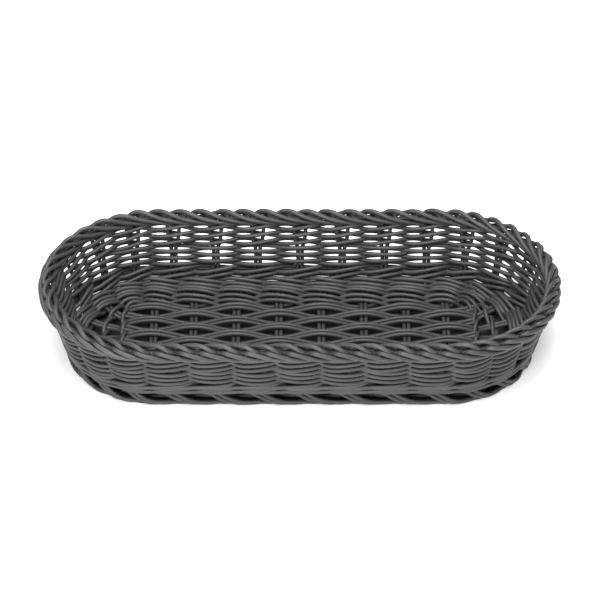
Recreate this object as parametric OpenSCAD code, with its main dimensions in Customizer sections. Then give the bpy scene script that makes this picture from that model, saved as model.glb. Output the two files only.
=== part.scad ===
// Oval woven bread basket made of round resin strands.
// +X runs along the basket, -Y is the front, +Z is up; the origin is at the bottom centre.

/* [Basket] */
// Overall length over the rim border
basket_length = 400; // [380:1:420]
// Overall width over the rim border
basket_width = 182; // [176:1:190]
// Overall height over the rim border
basket_height = 70; // [70:1:76]
// How far the wall leans out for each millimetre of height
wall_flare = 0.3; // [0.24:0.01:0.32]

/* [Strands] */
// Diameter of a weaving strand
weaver_d = 3; // [2.6:0.1:3]
// Diameter of a stake strand
stake_d = 3.2; // [2.8:0.1:3.2]
// Diameter of a border strand
border_d = 3.1; // [2.6:0.1:3.1]
// Clearance between strands that pass over each other
clearance = 0.1; // [0.1:0.05:0.2]

/* [Weave] */
// Spacing of the stake pairs along the straight sides
stake_pitch = 33; // [32.5:0.1:33]
// Spacing of the pairs of floor weavers
floor_pitch = 8.3; // [8:0.1:8.3]
// Height of the stakes in the raised floor
floor_z = 8; // [8:0.1:8.6]
// Rows of plain weave in the middle of the wall
plain_rows = 6; // [4:1:6]

/* [Hidden] */
$fn = 48;

strand_grey = [0.30, 0.30, 0.31];
stake_grey = [0.25, 0.25, 0.26];
floor_grey = [0.33, 0.33, 0.34];
border_grey = [0.36, 0.36, 0.37];

cross_pairs = 8;
end_pairs = 7;
floor_pairs = 10;
stake_count = 2 * (cross_pairs + end_pairs);

// Plan outline: two straight sides joined by half-circle ends
rim_r = basket_width / 2;
straight_half = basket_length / 2 - rim_r;

// The border is a roll of strands laid over a core ring
border_half_w = 3.8;
border_r = rim_r - border_half_w - border_d / 2;
border_crown = basket_height - border_d / 2;
border_spring = border_crown - 7.45;
border_core_d = 3.4;
border_core_z = border_spring + 2.6;
border_steps = 6;
border_reach = 1.65; // stake spacings that one border strand covers
border_strand_count = 2 * stake_count;

// Wall: stakes in the middle, a layer of weavers on each side of them
wall_base_r = border_r - 2.7 - wall_flare * 60;
wall_top_z = basket_height - 12;
function wall_r(z) = wall_base_r + wall_flare * z;
layer_offset = (stake_d / 2 + clearance + weaver_d / 2) / cos(atan(wall_flare));
lean = 0.5; // stake spacings that a stake leans as it turns up, clockwise from above

// Floor: weavers pass over and under the stakes
weaver_rise = stake_d / 2 + clearance + weaver_d / 2;
panel_half_l = straight_half + 24;
panel_half_w = floor_pairs * floor_pitch / 2;
stake_pair_half = stake_d / 2 + clearance;
weaver_pair_half = weaver_d / 2 + clearance / 2;

// Rows of the wall, from the floor upward
wall_row_pitch = 2.65;
lower_wale_z = 17.6;
lower_wale_rows = 3;
plain_z = 26;
top_wale_rows = 6;
top_wale_z = wall_top_z - 2.45 - (top_wale_rows - 1) * wall_row_pitch;
web_t = 1.4;

// Facets around a swept strand
strand_sides = 6;

// Stakes are numbered around the basket; the mean radius sets distances around the ends
mean_r = 75;
end_length = PI * mean_r;
loop_length = 4 * straight_half + 2 * end_length;
front_end_u = (cross_pairs - 1) / 2 * stake_pitch;
end_pitch = (loop_length / 2 - 2 * front_end_u) / (end_pairs + 1);
half_loop = cross_pairs + end_pairs;

// Distance around the basket of stake number i, counter-clockwise from the front centre
function half_u(i) = i < cross_pairs - 1
    ? i * stake_pitch - front_end_u
    : front_end_u + (i - cross_pairs + 1) * end_pitch;
function wrap(i) = i - stake_count * floor(i / stake_count);
function whole_u(i) = wrap(i) < half_loop
    ? half_u(wrap(i))
    : half_u(wrap(i) - half_loop) + loop_length / 2;
function stake_u(i) = whole_u(i) < -straight_half ? whole_u(i) + loop_length : whole_u(i);

// Direction in which the wall faces at distance u, and the centre it turns about
function facing(u) =
    u <= straight_half ? -90
    : u <= straight_half + end_length ? -90 + (u - straight_half) / mean_r * 180 / PI
    : u <= 3 * straight_half + end_length ? 90
    : u <= 3 * straight_half + 2 * end_length
        ? 90 + (u - 3 * straight_half - end_length) / mean_r * 180 / PI
    : 270;
function centre_x(u) =
    u <= straight_half ? u
    : u <= straight_half + end_length ? straight_half
    : u <= 3 * straight_half + end_length ? 2 * straight_half + end_length - u
    : u <= 3 * straight_half + 2 * end_length ? -straight_half
    : u - loop_length;

// Point on the wall at stake number i, radius r, height z, moved sideways by shift
function wall_point(i, r, z, shift = 0) =
    let (u = stake_u(i), a = facing(u), c = centre_x(u))
    [c + r * cos(a) - shift * sin(a), r * sin(a) + shift * cos(a), z];
function wall_tangent(i) =
    let (a = facing(stake_u(i)))
    [-sin(a), cos(a), 0];
function wall_normal(i) =
    let (a = facing(stake_u(i)))
    [cos(a), sin(a), 0];

// A stake as it turns up out of the floor and climbs to the border:
// its radius, its height, its share of the lean, and how far the pair spreads
climb = [
    [wall_base_r - 15, floor_z, 0, 1],
    [wall_base_r - 8.2, floor_z + 0.7, 0.1, 1.2],
    [wall_base_r - 2.8, floor_z + 2.3, 0.35, 1.35],
    [wall_base_r + 1.7, floor_z + 5.3, 0.65, 1.35],
    [wall_base_r + 4.9, floor_z + 9.3, 0.9, 1.25],
    [wall_r(plain_z), plain_z, 1, 1.05],
    [wall_r(37), 37, 1, 1.05],
    [wall_r(46), 46, 1, 2.2],
    [wall_r(wall_top_z), wall_top_z, 1, 2.9],
    [border_r, border_core_z - border_core_d / 2 - stake_d / 2 - clearance, 1, 3.1]
];
foot_r = climb[0][0];
function climb_path(i, shift) = [
    for (p = climb) wall_point(i - lean * p[2], p[0], p[1], shift * p[3])
];
function reversed(list) = [for (n = [len(list) - 1 : -1 : 0]) list[n]];

// Ring of corner points around one point of a strand
function unit(v) = v / norm(v);
function strand_ring(path, n, d, across) =
    let (
        before = path[max(n - 1, 0)],
        after = path[min(n + 1, len(path) - 1)],
        along = unit(after - before),
        side = unit(cross(along, across)),
        up = cross(side, along)
    )
    [for (s = [0 : strand_sides - 1])
        path[n] + d / 2 * (side * cos(s * 360 / strand_sides) + up * sin(s * 360 / strand_sides))];

// A round strand along a list of points; across is a direction it never runs in
module strand(path, d, across) {
    last = (len(path) - 1) * strand_sides;
    points = [for (n = [0 : len(path) - 1]) each strand_ring(path, n, d, across)];
    sides = [
        for (n = [0 : len(path) - 2], s = [0 : strand_sides - 1])
            let (t = (s + 1) % strand_sides, a = n * strand_sides)
            each [[a + s, a + t, a + strand_sides + t], [a + s, a + strand_sides + t, a + strand_sides + s]]
    ];
    start_cap = [for (s = [strand_sides - 1 : -1 : 0]) s];
    end_cap = [for (s = [0 : strand_sides - 1]) last + s];
    polyhedron(points = points, faces = concat([start_cap], sides, [end_cap]), convexity = 4);
}

// A pair of stakes that crosses under the floor and climbs both long sides
module cross_stake(k) {
    back = 2 * cross_pairs + end_pairs - 1 - k;
    color(stake_grey)
        for (side = [-1, 1])
            strand(
                concat(
                    reversed(climb_path(k, side * stake_pair_half)),
                    climb_path(back, -side * stake_pair_half)
                ),
                stake_d,
                [1, 0, 0]
            );
}

// A pair of stakes that starts at the edge of the floor panel and climbs an end
module end_stake(i) {
    tangent = wall_tangent(i);
    reach = min(
        (panel_half_l - straight_half) / max(abs(tangent[1]), 0.01),
        panel_half_w / max(abs(tangent[0]), 0.01)
    );
    color(stake_grey)
        for (side = [-1, 1])
            strand(
                concat(
                    [wall_point(i, min(reach + 5, foot_r - 2), floor_z, side * stake_pair_half)],
                    climb_path(i, side * stake_pair_half)
                ),
                stake_d,
                tangent
            );
}

// A pair of lengthwise strands woven over and under the cross stakes
module floor_weaver(row) {
    y = (row - (floor_pairs - 1) / 2) * floor_pitch;
    crossings = [
        for (k = [0 : cross_pairs - 1], edge = [-5, 5])
            [
                wall_point(k, foot_r, 0)[0] + edge,
                floor_z + ((row + k) % 2 == 0 ? -weaver_rise : weaver_rise)
            ]
    ];
    ends = [[-panel_half_l, floor_z], [panel_half_l, floor_z]];
    route = concat([ends[0]], crossings, [ends[1]]);
    color(floor_grey)
        for (side = [-1, 1])
            strand(
                [for (p = route) [p[0], y + side * weaver_pair_half, p[1]]],
                weaver_d,
                [0, 1, 0]
            );
}

// Sweeps a profile of radius and height around the basket's outline
module around_basket() {
    for (turn = [0, 180])
        rotate([0, 0, turn]) {
            translate([straight_half, 0, 0])
                rotate([0, 0, -90])
                    rotate_extrude(angle = 180)
                        children();
            translate([-straight_half, 0, 0])
                rotate([90, 0, 90])
                    linear_extrude(2 * straight_half)
                        children();
        }
}

// A round row that runs around the floor panel as a rounded rectangle
module floor_row(half_l, half_w, corner_r) {
    for (turn = [0, 180])
        rotate([0, 0, turn]) {
            for (flip = [0, 1])
                mirror([0, flip, 0])
                    translate([half_l - corner_r, half_w - corner_r, 0])
                        rotate_extrude(angle = 90)
                            translate([corner_r, 0])
                                circle(d = weaver_d);
            translate([corner_r - half_l, half_w, 0])
                rotate([0, 90, 0])
                    cylinder(d = weaver_d, h = 2 * (half_l - corner_r));
            if (half_w > corner_r)
                translate([half_l, half_w - corner_r, 0])
                    rotate([90, 0, 0])
                        cylinder(d = weaver_d, h = 2 * (half_w - corner_r));
        }
}

// Separate rows between the floor panel and the wall, above or below the stakes;
// they change step by step from the panel's outline to the basket's
floor_row_steps = 3;
floor_row_w = [panel_half_w + weaver_d, foot_r + 6.4];
floor_row_l = [panel_half_l + weaver_d, straight_half + foot_r + 6.4];
floor_row_corner = [14, foot_r + 6.4];
// Size at step n, in whole tenths so that the bends and the straights meet exactly
function floor_row_size(ends, n) =
    round(10 * (ends[0] + (ends[1] - ends[0]) * n / floor_row_steps)) / 10;
module floor_ring(z) {
    color(floor_grey)
        translate([0, 0, z]) {
            for (n = [0 : floor_row_steps - 1])
                floor_row(
                    floor_row_size(floor_row_l, n),
                    floor_row_size(floor_row_w, n),
                    floor_row_size(floor_row_corner, n)
                );
            around_basket()
                translate([floor_row_w[1], 0])
                    circle(d = weaver_d);
        }
}

// Profile of rows of strands, each at a radius and a height, joined by a web
module rows_profile(rows) {
    for (p = rows)
        translate(p)
            circle(d = weaver_d);
    for (n = [1 : len(rows) - 1]) {
        along = unit(rows[n] - rows[n - 1]);
        half_web = web_t / 2 * [-along[1], along[0]];
        polygon([
            rows[n - 1] - half_web,
            rows[n] - half_web,
            rows[n] + half_web,
            rows[n - 1] + half_web
        ]);
    }
}

// Rows evenly spaced up the straight part of the wall, on one side of the stakes
function wall_rows(side, first_z, count) = [
    for (n = [0 : count - 1])
        let (z = first_z + n * wall_row_pitch)
        [wall_r(z) + side * layer_offset, z]
];

// Rows over the turn of the stakes and the foot of the wall
turn_slope = [22, 42];
turn_rows = [[wall_base_r - 2.8, floor_z + 2.3], [wall_base_r + 1.7, floor_z + 5.3]];
function lower_rows(side) = concat(
    [for (n = [0, 1]) turn_rows[n] + side * weaver_rise * [sin(turn_slope[n]), -cos(turn_slope[n])]],
    wall_rows(side, lower_wale_z, lower_wale_rows)
);

module wall_band(rows) {
    color(strand_grey)
        around_basket()
            rows_profile(rows);
}

// The ring inside the foot; the basket stands on the flat of its lowest row
foot_core_r = wall_base_r - 3.95;
foot_core_pitch = 2.85;
foot_flat = 2;
module foot_core() {
    color(strand_grey)
        around_basket() {
            rows_profile([for (n = [0, 1]) [foot_core_r, weaver_d / 2 + n * foot_core_pitch]]);
            translate([foot_core_r - foot_flat / 2, 0])
                square([foot_flat, weaver_d / 2]);
        }
}

// Pairs of strands that leave the wall and slant down to the foot
foot_slant = [
    [0, wall_base_r + 4.9, floor_z - 0.7],
    [0.15, wall_base_r + 4.4, floor_z - 2.6],
    [0.33, wall_base_r + 2.9, floor_z - 4.6],
    [0.5, wall_base_r + 1.2, weaver_d / 2 + 0.2]
];
foot_pair_step = 0.26;
module foot_strands() {
    color(stake_grey)
        for (i = [0 : stake_count - 1], step = [0, foot_pair_step])
            strand(
                [for (p = foot_slant) wall_point(i - lean + step + p[0], p[1], p[2])],
                weaver_d,
                wall_normal(i - lean + step + foot_slant[1][0])
            );
}

module border_core() {
    color(border_grey)
        around_basket()
            translate([border_r, border_core_z])
                circle(d = border_core_d);
}

// Border strands spring from the inside, pass over the core and come down outside
function border_point(i, angle) = wall_point(
    i,
    border_r - border_half_w * cos(angle),
    border_spring + (border_crown - border_spring) * sin(angle)
);
module border_strands() {
    color(border_grey)
        for (j = [0 : border_strand_count - 1])
            strand(
                [for (n = [0 : border_steps])
                    border_point(j / 2 + border_reach * n / border_steps, 12 + 180 * n / border_steps)],
                border_d,
                [0, 0, 1]
            );
}

for (k = [0 : cross_pairs - 1])
    cross_stake(k);
for (k = [1 : end_pairs])
    end_stake(cross_pairs - 1 + k);
for (k = [1 : end_pairs])
    end_stake(half_loop + cross_pairs - 1 + k);
for (k = [1 : floor_pairs])
    floor_weaver(k - 1);
floor_ring(floor_z + weaver_rise);  // floor_ring_upper
floor_ring(floor_z - weaver_rise);  // floor_ring_lower
foot_core();
foot_strands();
wall_band(lower_rows(-1));  // lower_wale_inner
wall_band(lower_rows(1));  // lower_wale_outer
wall_band(wall_rows(-1, plain_z, plain_rows));  // plain_weave_inner
wall_band(wall_rows(1, plain_z, plain_rows));  // plain_weave_outer
wall_band(wall_rows(-1, top_wale_z, top_wale_rows));  // top_wale_inner
wall_band(wall_rows(1, top_wale_z, top_wale_rows));  // top_wale_outer
border_core();
border_strands();
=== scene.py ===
"""Strand-by-strand visual model of the oval woven bread basket.

Lengths are in millimetres until a mesh is made. Places round the basket are given as a
stake number: whole numbers are stakes, counted counter-clockwise from above, and the
stakes of the front side come first. The driving sizes come from the CAD frame, and the
shape of each strand is given as small offsets from them.
"""

import math

import bpy
import numpy as np
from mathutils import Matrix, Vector


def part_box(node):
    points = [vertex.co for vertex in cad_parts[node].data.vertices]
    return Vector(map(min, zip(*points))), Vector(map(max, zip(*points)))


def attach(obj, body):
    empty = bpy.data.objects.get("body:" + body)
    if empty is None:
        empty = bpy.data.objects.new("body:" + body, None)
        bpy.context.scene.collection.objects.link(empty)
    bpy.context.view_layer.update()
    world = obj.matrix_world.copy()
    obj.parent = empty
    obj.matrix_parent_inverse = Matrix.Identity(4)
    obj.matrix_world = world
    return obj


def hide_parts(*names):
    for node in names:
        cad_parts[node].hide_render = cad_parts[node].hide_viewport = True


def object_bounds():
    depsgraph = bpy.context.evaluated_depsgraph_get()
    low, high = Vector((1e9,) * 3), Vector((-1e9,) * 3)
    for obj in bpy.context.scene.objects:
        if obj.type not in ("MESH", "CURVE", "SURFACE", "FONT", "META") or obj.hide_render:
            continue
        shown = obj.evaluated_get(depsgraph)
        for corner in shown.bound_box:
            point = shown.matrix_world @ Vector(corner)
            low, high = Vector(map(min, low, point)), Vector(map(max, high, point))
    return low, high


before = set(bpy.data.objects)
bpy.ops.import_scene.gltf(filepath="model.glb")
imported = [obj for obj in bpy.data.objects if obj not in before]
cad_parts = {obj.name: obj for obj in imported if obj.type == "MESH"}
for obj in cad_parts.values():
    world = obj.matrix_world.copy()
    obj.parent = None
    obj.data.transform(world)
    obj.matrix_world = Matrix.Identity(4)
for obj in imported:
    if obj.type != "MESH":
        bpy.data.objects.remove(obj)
frame_low, frame_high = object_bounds()

MM = 0.001
ROOT = "root"


def box_mm(node):
    """Lowest and highest corner of a CAD node, in millimetres."""
    lo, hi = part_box(node)
    return np.array(lo) / MM, np.array(hi) / MM


# ---------------------------------------------------------------- sizes from the frame

basket_size = (np.array(frame_high) - np.array(frame_low)) / MM
basket_top = frame_high.z / MM
rim_r = basket_size[1] / 2
straight_half = (basket_size[0] - basket_size[1]) / 2

CROSS_PAIRS = len([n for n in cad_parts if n.startswith("cross_stake_")])
END_PAIRS = len([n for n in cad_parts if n.startswith("right_stake_")])
FLOOR_PAIRS = len([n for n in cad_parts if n.startswith("floor_weaver_")])
STAKES = 2 * (CROSS_PAIRS + END_PAIRS)
HALF_LOOP = CROSS_PAIRS + END_PAIRS

ring_low, ring_high = box_mm("floor_ring_upper")
lower_ring_low, lower_ring_high = box_mm("floor_ring_lower")
weaver_d = ring_high[2] - ring_low[2]
floor_z = (ring_high[2] + lower_ring_low[2]) / 2
layer = (ring_low[2] - lower_ring_high[2] + weaver_d) / 2
clearance = 0.1
stake_r = layer - weaver_d / 2 - clearance

# The CAD strands stay clear of each other. These touch, and are a little thicker
border_d = 1.17 * weaver_d
weaver_r = 0.55 * weaver_d
floor_r = 0.535 * weaver_d


def middle_x(node):
    lo, hi = box_mm(node)
    return (lo[0] + hi[0]) / 2


def middle_y(node):
    lo, hi = box_mm(node)
    return (lo[1] + hi[1]) / 2


# The first and the last cross stake lean into the rounded ends, so they are left out
stake_pitch = (middle_x(f"cross_stake_{CROSS_PAIRS - 1}") - middle_x("cross_stake_2")) / (CROSS_PAIRS - 3)
floor_rows_y = [middle_y(f"floor_weaver_{n + 1}") for n in range(FLOOR_PAIRS)]
floor_pitch = floor_rows_y[1] - floor_rows_y[0]
panel_half_w = floor_rows_y[-1] + floor_pitch / 2
panel_half_l = box_mm("floor_weaver_1")[1][0]

# The wall's middle surface is a straight flare through the top rows of two CAD bands
_, plain_high = box_mm("plain_weave_outer")
_, wale_high = box_mm("top_wale_outer")
wall_flare = (wale_high[1] - plain_high[1]) / (wale_high[2] - plain_high[2])
wall_tilt = math.atan(wall_flare)
wall_base_r = (
    wale_high[1]
    - weaver_d / 2
    - layer / math.cos(wall_tilt)
    - wall_flare * (wale_high[2] - weaver_d / 2)
)


def wall_r(z):
    return wall_base_r + wall_flare * z


# ---------------------------------------------------------------- round the basket

# Radius at which the distance round an end is measured
MEAN_R = 75.0
end_length = math.pi * MEAN_R
loop_length = 4 * straight_half + 2 * end_length
front_end_u = (CROSS_PAIRS - 1) / 2 * stake_pitch
end_pitch = (loop_length / 2 - 2 * front_end_u) / (END_PAIRS + 1)


def stake_distance(i):
    """Distance round the outline of stake number i, from the middle of the front."""
    i = np.mod(i, STAKES)
    half = i >= HALF_LOOP
    j = np.where(half, i - HALF_LOOP, i)
    along_side = j * stake_pitch - front_end_u
    round_end = front_end_u + (j - CROSS_PAIRS + 1) * end_pitch
    u = np.where(j < CROSS_PAIRS - 1, along_side, round_end)
    return u + np.where(half, loop_length / 2, 0.0)


def facing(i):
    """Centre the wall turns about (x) and the direction it faces (radians) at stake number i."""
    u = stake_distance(np.asarray(i, float))
    # Half way round, everything repeats turned by 180 degrees
    u = np.where(u < -straight_half, u + loop_length, u)
    turned = u > straight_half + end_length
    u = np.where(turned, u - loop_length / 2, u)
    second_side = u > straight_half + end_length
    past = np.clip(u - straight_half, 0.0, end_length)
    cx = np.where(second_side, loop_length / 2 - u, np.clip(u, -straight_half, straight_half))
    angle = -math.pi / 2 + past / MEAN_R
    return np.where(turned, -cx, cx), angle + math.pi * turned


def place(i, r, z, shift=0.0):
    """Points at stake number i, radius r and height z, moved sideways by shift."""
    cx, a = facing(i)
    x = cx + r * np.cos(a) - shift * np.sin(a)
    y = r * np.sin(a) + shift * np.cos(a)
    return np.stack([x, y, z + np.zeros_like(x)], -1)


def outward(i):
    _, a = facing(i)
    return np.stack([np.cos(a), np.sin(a), np.zeros_like(a)], -1)


UP = np.array([0.0, 0.0, 1.0])


def smooth_line(points, per_span):
    """Catmull-Rom curve through rows of numbers."""
    p = np.asarray(points, float)
    p = np.vstack([2 * p[0] - p[1], p, 2 * p[-1] - p[-2]])
    out = []
    for n in range(1, len(p) - 2):
        t = np.linspace(0, 1, per_span, endpoint=False)[:, None]
        a, b, c, d = p[n - 1], p[n], p[n + 1], p[n + 2]
        out.append(
            0.5 * (2 * b + (c - a) * t + (2 * a - 5 * b + 4 * c - d) * t**2
                   + (3 * b - a - 3 * c + d) * t**3)
        )
    return np.vstack(out + [p[-2][None, :]])


# ---------------------------------------------------------------- strand meshes

SIDES = 10
# A strand's drift is the sum of a few waves, each this many millimetres high
UNEVEN = 0.11
DRIFT_WAVES = 4


class Strands:
    """Collects round strands into one mesh."""

    def __init__(self, name, seed):
        self.name = name
        self.random = np.random.default_rng(seed)
        self.verts = []
        self.faces = []
        self.uvs = []
        self.tints = []
        self.count = 0

    def wander(self, path, across, closed):
        """Small slow sideways drift, so that no two strands lie exactly alike."""
        if closed:
            waves = self.random.integers(3, 3 + STAKES, DRIFT_WAVES)
        else:
            waves = self.random.uniform(0.3, 2.5, DRIFT_WAVES)
        turn = np.linspace(0, 2 * math.pi, len(path), endpoint=not closed)
        start = self.random.uniform(0, 2 * math.pi, DRIFT_WAVES)
        drift = np.sin(turn[:, None] * waves + start).sum(1) * UNEVEN
        along = np.gradient(path, axis=0)
        along /= np.linalg.norm(along, axis=1)[:, None]
        side = np.cross(along, np.broadcast_to(across, path.shape))
        return side * drift[:, None]

    def add(self, path, across, radius, closed=False):
        """A strand along path; across is a direction, or one per point, that it never runs in."""
        path = np.asarray(path, float)
        path = path + self.wander(path, across, closed)
        n = len(path)
        if closed:
            along = np.roll(path, -1, 0) - np.roll(path, 1, 0)
        else:
            along = np.gradient(path, axis=0)
        along /= np.linalg.norm(along, axis=1)[:, None]
        side = np.cross(along, np.broadcast_to(across, path.shape))
        side /= np.linalg.norm(side, axis=1)[:, None]
        up = np.cross(side, along)
        turn = np.linspace(0, 2 * math.pi, SIDES, endpoint=False)
        spoke = (
            side[:, None, :] * np.cos(turn)[None, :, None]
            + up[:, None, :] * np.sin(turn)[None, :, None]
        )
        rings = path[:, None, :] + spoke * radius
        step = np.linalg.norm(np.diff(path, axis=0, append=path[:1]), axis=1)
        length = np.concatenate([[0.0], np.cumsum(step)])
        offset = self.random.uniform(0, 1000)
        tint = self.random.uniform(0, 1)
        base = self.count
        self.verts.append(rings.reshape(-1, 3))
        self.tints.append(np.full(n * SIDES, tint))
        self.count += n * SIDES
        last = n if closed else n - 1
        for k in range(last):
            a = base + k * SIDES
            b = base + ((k + 1) % n) * SIDES
            for s in range(SIDES):
                t = (s + 1) % SIDES
                self.faces.append((a + s, a + t, b + t, b + s))
                u0, u1 = offset + length[k], offset + length[k + 1]
                v0, v1 = s / SIDES, (s + 1) / SIDES
                self.uvs.append(((u0, v0), (u0, v1), (u1, v1), (u1, v0)))
        if not closed:
            first_cap = (base, range(SIDES - 1, -1, -1))
            last_cap = (base + (n - 1) * SIDES, range(SIDES))
            for start, order in (first_cap, last_cap):
                self.faces.append(tuple(start + s for s in order))
                self.uvs.append(tuple((offset, s / SIDES) for s in order))

    def build(self, material, slot, *nodes):
        """Makes the object, which stands for the named CAD nodes."""
        mesh = bpy.data.meshes.new(self.name)
        verts = np.vstack(self.verts) * MM
        mesh.from_pydata(verts.tolist(), [], self.faces)
        uv_layer = mesh.uv_layers.new(name="strand")
        flat = np.array([c for face in self.uvs for c in face], float)
        uv_layer.data.foreach_set("uv", flat.ravel())
        tint = mesh.attributes.new(name="tint", type="FLOAT", domain="POINT")
        tint.data.foreach_set("value", np.concatenate(self.tints))
        mesh.polygons.foreach_set("use_smooth", [True] * len(mesh.polygons))
        mesh.materials.append(material)
        mesh.update()
        obj = bpy.data.objects.new(self.name, mesh)
        bpy.context.scene.collection.objects.link(obj)
        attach(obj, ROOT)
        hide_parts(*nodes)
        return obj


# ---------------------------------------------------------------- materials


def strand_material(name, dark, light, sheen_rough):
    """Extruded resin strand: dark grey, faint lines along it, uneven satin surface."""
    mat = bpy.data.materials.new(name)
    mat.use_nodes = True
    nodes, links = mat.node_tree.nodes, mat.node_tree.links
    nodes.clear()

    def node(kind, **sockets):
        made = nodes.new(kind)
        for key, value in sockets.items():
            made.inputs[key.replace("_", " ")].default_value = value
        return made

    out = nodes.new("ShaderNodeOutputMaterial")
    shader = node("ShaderNodeBsdfPrincipled", IOR=1.5)
    links.new(shader.outputs["BSDF"], out.inputs["Surface"])

    uv = nodes.new("ShaderNodeUVMap")
    uv.uv_map = "strand"
    tint = nodes.new("ShaderNodeAttribute")
    tint.attribute_name = "tint"

    # Fine lines left by extrusion: stretched along the strand, close together around it
    stretch = node("ShaderNodeMapping", Scale=(0.06, 26.0, 1.0))
    lines = node("ShaderNodeTexNoise", Scale=1.0, Detail=3.0, Roughness=0.6)
    links.new(uv.outputs["UV"], stretch.inputs["Vector"])
    links.new(stretch.outputs["Vector"], lines.inputs["Vector"])

    # Slow change of tone along each strand
    slow = node("ShaderNodeMapping", Scale=(0.035, 1.2, 1.0))
    drift = node("ShaderNodeTexNoise", Scale=1.0, Detail=2.0)
    links.new(uv.outputs["UV"], slow.inputs["Vector"])
    links.new(slow.outputs["Vector"], drift.inputs["Vector"])

    # Small dull specks and rubbed places
    place_on = nodes.new("ShaderNodeTexCoord")
    specks = node("ShaderNodeTexNoise", Scale=900.0, Detail=4.0, Roughness=0.7)
    links.new(place_on.outputs["Object"], specks.inputs["Vector"])

    # Tone: partly the slow change, partly each strand's own tint
    drift_share = 0.45
    tone = node("ShaderNodeMath")
    tone.operation = "MULTIPLY_ADD"
    tone.inputs[1].default_value = drift_share
    links.new(drift.outputs["Fac"], tone.inputs[0])
    part = node("ShaderNodeMath")
    part.operation = "MULTIPLY"
    part.inputs[1].default_value = 1 - drift_share
    links.new(tint.outputs["Fac"], part.inputs[0])
    links.new(part.outputs["Value"], tone.inputs[2])

    colour = nodes.new("ShaderNodeMix")
    colour.data_type = "RGBA"
    colour.inputs["A"].default_value = (*dark, 1.0)
    colour.inputs["B"].default_value = (*light, 1.0)
    links.new(tone.outputs["Value"], colour.inputs["Factor"])
    streak = nodes.new("ShaderNodeMix")
    streak.data_type = "RGBA"
    streak.blend_type = "MULTIPLY"
    streak.inputs["Factor"].default_value = 0.5
    ramp = nodes.new("ShaderNodeValToRGB")
    ramp.color_ramp.elements[0].position = 0.36
    ramp.color_ramp.elements[0].color = (0.55, 0.55, 0.55, 1.0)
    ramp.color_ramp.elements[1].position = 0.62
    ramp.color_ramp.elements[1].color = (1.0, 1.0, 1.0, 1.0)
    links.new(lines.outputs["Fac"], ramp.inputs["Fac"])
    links.new(colour.outputs["Result"], streak.inputs["A"])
    links.new(ramp.outputs["Color"], streak.inputs["B"])
    links.new(streak.outputs["Result"], shader.inputs["Base Color"])

    rough = nodes.new("ShaderNodeMapRange")
    rough.inputs["To Min"].default_value = sheen_rough - 0.1
    rough.inputs["To Max"].default_value = sheen_rough + 0.14
    links.new(specks.outputs["Fac"], rough.inputs["Value"])
    links.new(rough.outputs["Result"], shader.inputs["Roughness"])

    ridges = node("ShaderNodeBump", Strength=0.28, Distance=0.00025)
    grain = node("ShaderNodeBump", Strength=0.18, Distance=0.00012)
    links.new(lines.outputs["Fac"], ridges.inputs["Height"])
    links.new(specks.outputs["Fac"], grain.inputs["Height"])
    links.new(ridges.outputs["Normal"], grain.inputs["Normal"])
    links.new(grain.outputs["Normal"], shader.inputs["Normal"])
    return mat


wall_mat = strand_material("wall_strand", (0.036, 0.036, 0.0372), (0.066, 0.066, 0.068), 0.46)
floor_mat = strand_material("floor_strand", (0.036, 0.036, 0.0372), (0.066, 0.066, 0.068), 0.46)
# Painted shade: the stakes and foot strands get a darker copy of the same strand colour, for the shade they
# lie in between and under the weavers.
stake_mat = strand_material("stake", (0.032, 0.032, 0.033), (0.056, 0.056, 0.058), 0.48)
# Painted light: the border strands and their ring get a lighter copy of the same strand colour, for the
# light that falls on the rim.
border_mat = strand_material("border_strand", (0.042, 0.042, 0.0435), (0.074, 0.074, 0.076), 0.44)

# ---------------------------------------------------------------- stakes

# Stakes lean back by this many stake spacings on the way up
LEAN = 0.5
stake_half = stake_r + clearance

# Radius, height, share of the lean and spread of the pair, from the floor to the border
CLIMB = [
    (wall_base_r - 15, floor_z, 0.0, 1.0),
    (wall_base_r - 8.2, floor_z + 0.7, 0.1, 1.1),
    (wall_base_r - 2.8, floor_z + 2.3, 0.35, 1.2),
    (wall_base_r + 1.7, floor_z + 5.3, 0.65, 1.2),
    (wall_base_r + 4.9, floor_z + 9.3, 0.9, 1.1),
    (wall_r(floor_z + 18), floor_z + 18, 1.0, 1.0),
    (wall_r(floor_z + 29), floor_z + 29, 1.0, 1.0),
    (wall_r(floor_z + 38), floor_z + 38, 1.0, 2.2),
    (wall_r(floor_z + 49), floor_z + 49, 1.0, 2.8),
    (wall_r(floor_z + 55) + 1.0, floor_z + 55, 1.0, 3.1),
]
CLIMB_STEPS = 6


def climb(i, side):
    """One stake of the pair at stake number i, from the floor up; side is -1 or 1."""
    r, z, share, spread = smooth_line(CLIMB, CLIMB_STEPS).T
    return place(i - LEAN * share, r, z, side * stake_half * spread)


def stake_at(z):
    """How far, in stakes, a stake has leaned at height z."""
    return -LEAN * np.interp(z, [row[1] for row in CLIMB], [row[2] for row in CLIMB])


def build_cross_stakes():
    """Pairs that cross under the floor and climb both long sides."""
    floor_points = 12
    for k in range(CROSS_PAIRS):
        pair = Strands(f"visual_cross_stake_{k + 1}", 100 + k)
        back = HALF_LOOP + CROSS_PAIRS - 1 - k
        for side in (-1, 1):
            front_part = climb(k, side)[::-1]
            back_part = climb(back, -side)
            middle = np.linspace(front_part[-1], back_part[0], floor_points)[1:-1]
            pair.add(np.vstack([front_part, middle, back_part]), (1.0, 0.0, 0.0), stake_r)
        pair.build(stake_mat, "stake", f"cross_stake_{k + 1}")


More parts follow.
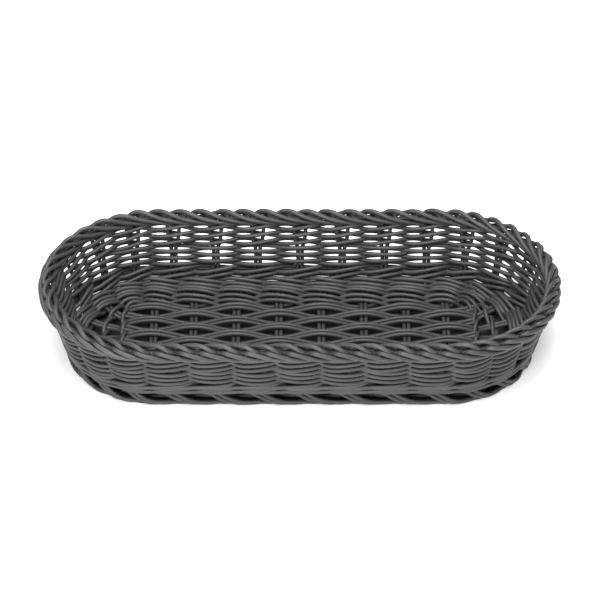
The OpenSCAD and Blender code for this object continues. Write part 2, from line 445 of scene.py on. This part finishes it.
def build_end_stakes():
    """Pairs that start at the edge of the floor panel and climb the rounded ends."""
    for name, first in (("right", CROSS_PAIRS), ("left", HALF_LOOP + CROSS_PAIRS)):
        for k in range(END_PAIRS):
            i = first + k
            pair = Strands(f"visual_{name}_stake_{k + 1}", 200 + i)
            normal = outward(np.array([float(i)]))[0]
            tangent = np.array([-normal[1], normal[0], 0.0])
            past_panel_end = (panel_half_l - straight_half) / max(abs(normal[0]), 0.01)
            past_panel_side = panel_half_w / max(abs(normal[1]), 0.01)
            start = min(past_panel_end + 5, past_panel_side + 5, CLIMB[0][0] - 2)
            for side in (-1, 1):
                foot = place(np.array([float(i)]), start, floor_z, side * stake_half)
                pair.add(np.vstack([foot, climb(float(i), side)]), tangent, stake_r)
            pair.build(stake_mat, "stake", f"{name}_stake_{k + 1}")


# ---------------------------------------------------------------- floor

# Points along a strand for each stake it passes
PER_STAKE = 16


def flat_wave(theta, sharpness):
    """A cosine with flattened crests, as a strand that lies on a stake has."""
    return np.tanh(sharpness * np.cos(theta)) / math.tanh(sharpness)


def build_floor_weavers():
    """Lengthwise pairs, woven over and under the cross stakes."""
    half_gap = floor_pitch / 4
    end_x = panel_half_l + weaver_d
    x = np.linspace(-end_x, end_x, int(2 * end_x / stake_pitch * PER_STAKE))
    i = x / stake_pitch + (CROSS_PAIRS - 1) / 2
    for row, y in enumerate(floor_rows_y):
        pair = Strands(f"visual_floor_weaver_{row + 1}", 300 + row)
        wave = -np.cos(math.pi * (i + row))
        for side in (-1, 1):
            path = np.stack([x, y + side * half_gap + 0 * x, floor_z + layer * wave], -1)
            pair.add(path, (0.0, 1.0, 0.0), floor_r)
        pair.build(floor_mat, "floor_strand", f"floor_weaver_{row + 1}")


def panel_outline(i):
    """Point on the edge of the floor panel that stake number i passes over."""
    half_l = panel_half_l + weaver_d
    half_w = panel_half_w + weaver_d
    corner = 14.0
    arc = np.linspace(0, math.pi / 2, 9)
    quarter_x = half_l - corner + corner * np.sin(arc)
    quarter_y = -half_w + corner - corner * np.cos(arc)
    line = np.vstack([
        [[front_end_u, -half_w]],
        np.stack([quarter_x, quarter_y], -1),
        np.stack([quarter_x, -quarter_y], -1)[::-1],
        [[front_end_u, half_w]],
    ])
    run = np.concatenate([[0.0], np.cumsum(np.linalg.norm(np.diff(line, axis=0), axis=1))])
    i = np.mod(i, STAKES)
    half = i >= HALF_LOOP
    j = np.where(half, i - HALF_LOOP, i)
    on_side = j < CROSS_PAIRS - 1
    share = np.clip((j - CROSS_PAIRS + 1) / (END_PAIRS + 1), 0, 1) * run[-1]
    x = np.where(on_side, j * stake_pitch - front_end_u, np.interp(share, run, line[:, 0]))
    y = np.where(on_side, -half_w, np.interp(share, run, line[:, 1]))
    sign = np.where(half, -1.0, 1.0)
    return np.stack([x * sign, y * sign, np.zeros_like(x)], -1)


# Stake numbers all the way round the basket, for strands that close on themselves
ROUND = np.linspace(0, STAKES, STAKES * PER_STAKE, endpoint=False)


def twined_row(group, centre, inward, upward, phase, twist, swing, gap):
    """Two strands that swap sides between the stakes.

    centre, inward and upward hold, for each stake number in ROUND, the row's middle and
    the directions into the basket and up the wall. twist is 1 or -1.
    """
    for strand in (0, 1):
        theta = math.pi * (ROUND - phase + strand)
        across = flat_wave(theta, swing)[:, None] * layer * inward
        along_wall = twist * gap * np.sin(theta)[:, None] * upward
        group.add(centre + across + along_wall, inward, weaver_r, closed=True)


# Shape of the rows that lie on the floor or turn up from it
LOW_SWING = 1.1
LOW_GAP = 1.5

# Share of the way from the floor panel to the wall, and height above the floor
RING_ROWS = [(0.0, 0.0), (0.5, 0.1), (1.0, 0.9)]


def build_floor_ring():
    """Rows between the floor panel and the wall."""
    group = Strands("visual_floor_ring", 400)
    inner = panel_outline(ROUND)
    outer = place(ROUND, CLIMB[1][0], 0.0)
    step = outer - inner
    upward = step / np.linalg.norm(step, axis=1)[:, None]
    inward = np.broadcast_to(UP, step.shape)
    for share, lift in RING_ROWS:
        centre = (1 - share) * inner + share * outer + (floor_z + lift) * UP
        twined_row(group, centre, inward, upward, 0.0, 1, LOW_SWING, LOW_GAP)
    group.build(floor_mat, "floor_strand", "floor_ring_upper", "floor_ring_lower")


# ---------------------------------------------------------------- wall


def wall_directions(slope):
    """Directions into the basket and up the wall, where it rises at slope (radians)."""
    out = outward(ROUND)
    inward = -math.sin(slope) * out + math.cos(slope) * UP
    upward = math.cos(slope) * out + math.sin(slope) * UP
    return inward, upward


WALL_SLOPE = math.pi / 2 - wall_tilt
STRAIGHT_INWARD, STRAIGHT_UPWARD = wall_directions(WALL_SLOPE)


def three_strand_row(group, z, phase, gap):
    """Three strands that each pass outside two stakes and inside the third."""
    centre = place(ROUND, wall_r(z), z)
    sharpness = 2.6
    # cos(turn) is 1 at the inside stake and -0.5 at the two outside ones
    halfway = 0.5
    for strand in range(3):
        turn = 2 * math.pi / 3 * (ROUND - phase + strand)
        depth = np.tanh(sharpness * (np.cos(turn) - halfway))
        depth = np.where(depth > 0, depth / math.tanh(sharpness * halfway), depth)
        # Drops quickly inside the stake and rises slowly outside the other two
        lift = -gap * (0.924 * np.sin(turn) + 0.231 * np.sin(2 * turn))
        path = centre + depth[:, None] * layer * STRAIGHT_INWARD + lift[:, None] * STRAIGHT_UPWARD
        group.add(path, STRAIGHT_INWARD, weaver_r, closed=True)


# Rows where the floor turns up: out from the wall's base, height above the floor,
# slope in degrees, how far the stakes have leaned there, gap
TURN_ROWS = [
    (-5.2, 1.3, 12, -0.1, 1.4),
    (-2.0, 2.9, 26, -0.15, LOW_GAP),
    (1.7, 5.4, 42, -0.2, LOW_GAP),
]
THREE_STRAND_Z = (floor_z + 8.3, floor_z + 13.2)
THREE_STRAND_GAP = 2.2


def build_lower_wale():
    """The rows of the turn and the three-strand rows above them."""
    group = Strands("visual_lower_wale", 500)
    for out, rise, degrees, leaned, gap in TURN_ROWS:
        centre = place(ROUND, wall_base_r + out, floor_z + rise)
        inward, upward = wall_directions(math.radians(degrees))
        twined_row(group, centre, inward, upward, leaned, 1, LOW_SWING, gap)
    for z in THREE_STRAND_Z:
        three_strand_row(group, z, stake_at(z), THREE_STRAND_GAP)
    group.build(wall_mat, "wall_strand", "lower_wale_inner", "lower_wale_outer")


PLAIN_ROWS = 6
PLAIN_PITCH = 2.64
plain_first_z = floor_z + 18


def build_plain_weave():
    """Single strands that pass inside one stake and outside the next."""
    group = Strands("visual_plain_weave", 600)
    for row in range(PLAIN_ROWS):
        z = plain_first_z + row * PLAIN_PITCH
        theta = math.pi * (ROUND - stake_at(z) + row)
        wave = flat_wave(theta, 1.0)[:, None]
        path = place(ROUND, wall_r(z), z) + wave * layer * STRAIGHT_INWARD
        group.add(path, STRAIGHT_INWARD, weaver_r, closed=True)
    group.build(wall_mat, "wall_strand", "plain_weave_inner", "plain_weave_outer")


TOP_ROWS = 3
TOP_PITCH = 5.9
TOP_SWING = 1.3
TOP_GAP = 1.75
top_first_z = floor_z + 35.4


def build_top_wale():
    """Twined rows under the border."""
    group = Strands("visual_top_wale", 700)
    for row in range(TOP_ROWS):
        z = top_first_z + row * TOP_PITCH
        centre = place(ROUND, wall_r(z), z)
        twined_row(
            group, centre, STRAIGHT_INWARD, STRAIGHT_UPWARD, stake_at(z), -1, TOP_SWING, TOP_GAP
        )
    group.build(wall_mat, "wall_strand", "top_wale_inner", "top_wale_outer")


# ---------------------------------------------------------------- border

# The border's middle is half a strand further in from the rim and down from the top
BORDER_IN = 5.0
BORDER_DOWN = 3.6
border_r = rim_r - BORDER_IN - border_d / 2
border_z = basket_top - BORDER_DOWN - border_d / 2

# One border strand: distance along the rim in stakes, outward, upward
BORDER_STROKE = [
    (-1.50, -2.4, -6.6),
    (-1.30, -3.8, -5.2),
    (-1.00, -4.7, -2.8),
    (-0.75, -4.5, -0.8),
    (-0.56, -3.6, 1.4),
    (-0.40, -2.1, 3.1),
    (-0.26, -0.2, 3.9),
    (-0.13, 1.6, 3.1),
    (-0.02, 2.6, 1.3),
    (0.06, 1.9, -0.9),
    (0.13, 0.2, -2.9),
    (0.20, 0.4, -3.0),
    (0.28, 2.6, -1.0),
    (0.36, 4.2, -0.4),
    (0.50, 4.9, -1.4),
    (0.67, 5.1, -3.1),
    (0.87, 4.8, -5.1),
    (1.08, 3.8, -6.6),
    (1.27, 2.2, -7.1),
    (1.45, 0.6, -6.6),
]


STROKES_PER_STAKE = 2


def build_border():
    """Strands that roll over the rim, and the ring they lie on."""
    group = Strands("visual_border_strands", 800)
    s, o, h = smooth_line(BORDER_STROKE, 5).T
    for n in range(STROKES_PER_STAKE * STAKES):
        i = n / STROKES_PER_STAKE + s + group.random.uniform(-0.03, 0.03)
        lift = group.random.uniform(-0.3, 0.2)
        path = place(i, border_r + o, border_z + h + lift)
        group.add(path, UP, border_d / 2)
    group.build(border_mat, "border_strand", "border_strands")

    # The ring sits lower and is thinner than the CAD core, so the rim shows dark gaps
    core = Strands("visual_border_core", 820)
    core_low, core_high = box_mm("border_core")
    core_r = (core_high[2] - core_low[2]) / 2
    core_z = (core_high[2] + core_low[2]) / 2
    core.add(place(ROUND, border_r - 0.6, core_z - 2.0), UP, 0.7 * core_r, closed=True)
    core.build(border_mat, "border_strand", "border_core")


# ---------------------------------------------------------------- foot

# One foot strand: distance round the basket in stakes, radius, height
FOOT_SLANT = [
    (-0.15, wall_base_r + 4.6, floor_z + 4.4),
    (0.0, wall_base_r + 5.4, floor_z + 2.0),
    (0.15, wall_base_r + 5.8, floor_z - 1.0),
    (0.32, wall_base_r + 5.4, 4.2),
    (0.5, wall_base_r + 5.0, 2.4),
    (0.75, wall_base_r + 4.4, 1.7),
    (1.05, wall_base_r + 2.8, 1.6),
    (1.35, wall_base_r + 0.8, 1.6),
]
FOOT_STEP = 0.2
FOOT_CORE_ROWS = 2
FOOT_CORE_WAVE = 0.6


def build_foot():
    """Pairs of strands that slant down from the wall, and the rows they lie on."""
    group = Strands("visual_foot_strands", 900)
    s, r, z = smooth_line(FOOT_SLANT, 6).T
    for n in range(STAKES):
        for step in (0.0, FOOT_STEP):
            group.add(place(n - LEAN + step + s, r, z), UP, weaver_r)
    group.build(stake_mat, "stake", "foot_strands")

    core = Strands("visual_foot_core", 920)
    _, core_high = box_mm("foot_core")
    core_r = core_high[1] - weaver_d / 2
    for row in range(FOOT_CORE_ROWS):
        z = weaver_d / 2 + row * (core_high[2] - weaver_d) / (FOOT_CORE_ROWS - 1)
        wave = FOOT_CORE_WAVE * np.cos(math.pi * (ROUND + row))
        core.add(place(ROUND, core_r + wave, z), UP, weaver_r, closed=True)
    core.build(wall_mat, "wall_strand", "foot_core")


build_cross_stakes()
build_end_stakes()
build_floor_weavers()
build_floor_ring()
build_lower_wale()
build_plain_weave()
build_top_wale()
build_border()
build_foot()

# ---------------------------------------------------------------- studio

scene = bpy.context.scene
shade_r = wall_base_r + 3.8

# Heights in metres: the card lies just above the studio floor, both just under the basket
SHADE_Z = -0.0002
STUDIO_FLOOR_Z = -0.0004


def build_shade():
    """Painted shade: a dark card under the basket, inside its foot, stands in for the shadow under the
    floor, where hardly any light gets through.
    """
    turn = np.linspace(-math.pi / 2, math.pi / 2, 40)
    half = [
        ((straight_half + shade_r * math.cos(a)) * MM, shade_r * math.sin(a) * MM, SHADE_Z)
        for a in turn
    ]
    rim = half + [(-x, -y, z) for x, y, z in half]
    mesh = bpy.data.meshes.new("painted_shade_card")
    mesh.from_pydata(rim, [], [tuple(range(len(rim)))])
    mat = bpy.data.materials.new("painted_shade_card")
    mat.use_nodes = True
    shader = mat.node_tree.nodes["Principled BSDF"]
    shader.inputs["Base Color"].default_value = (0.03, 0.03, 0.03, 1.0)
    shader.inputs["Roughness"].default_value = 0.95
    mesh.materials.append(mat)
    card = bpy.data.objects.new("painted_shade_card", mesh)
    scene.collection.objects.link(card)


def build_studio_floor():
    """A pale floor that gives off a little light, so that it renders white."""
    floor_mesh = bpy.data.meshes.new("studio_floor")
    reach = 6.0
    corners = ((-1, -1), (1, -1), (1, 1), (-1, 1))
    floor_mesh.from_pydata([(reach * x, reach * y, STUDIO_FLOOR_Z) for x, y in corners], [], [(0, 1, 2, 3)])
    floor = bpy.data.objects.new("studio_floor", floor_mesh)
    scene.collection.objects.link(floor)
    mat = bpy.data.materials.new("studio_floor")
    mat.use_nodes = True
    shader = mat.node_tree.nodes["Principled BSDF"]
    shader.inputs["Base Color"].default_value = (0.9, 0.9, 0.9, 1.0)
    shader.inputs["Roughness"].default_value = 0.9
    shader.inputs["Emission Color"].default_value = (1.0, 1.0, 1.0, 1.0)
    shader.inputs["Emission Strength"].default_value = 0.35
    floor_mesh.materials.append(mat)


# Name, place in metres, width in metres, watts
LIGHTS = [
    ("key", (-0.1, -0.7, 1.5), 1.2, 22.0),
    ("top", (0.0, 0.1, 1.7), 1.3, 18.0),
    ("front", (-0.5, -1.5, 0.38), 0.7, 15.0),
]


def build_lights():
    """An even white surround and three soft round lights that face the basket."""
    world = bpy.data.worlds.new("studio_world")
    world.use_nodes = True
    sky = world.node_tree.nodes["Background"]
    sky.inputs["Color"].default_value = (1.0, 1.0, 1.0, 1.0)
    sky.inputs["Strength"].default_value = 0.4
    scene.world = world

    centre = Vector((0.0, 0.0, 0.03))
    for name, at, size, power in LIGHTS:
        light = bpy.data.lights.new(name, "AREA")
        light.shape = "DISK"
        light.size = size
        light.energy = power
        lamp = bpy.data.objects.new(name, light)
        lamp.location = at
        lamp.rotation_euler = (centre - Vector(at)).to_track_quat("-Z", "Y").to_euler()
        scene.collection.objects.link(lamp)


def build_camera():
    """A long lens looking down on the front side."""
    elevation = math.radians(38.0)
    distance = 2.922
    aim = Vector((0.0, 0.0589, 0.0))
    camera_data = bpy.data.cameras.new("camera")
    camera_data.sensor_width = 36.0
    camera_data.lens = 223.1
    camera_data.clip_end = 50.0
    camera = bpy.data.objects.new("camera", camera_data)
    back = Vector((0.0, -math.cos(elevation), math.sin(elevation)))
    camera.location = aim + distance * back
    camera.rotation_euler = (-back).to_track_quat("-Z", "Y").to_euler()
    scene.collection.objects.link(camera)
    scene.camera = camera


build_studio_floor()
build_shade()
build_lights()
build_camera()
scene.view_settings.view_transform = "Standard"
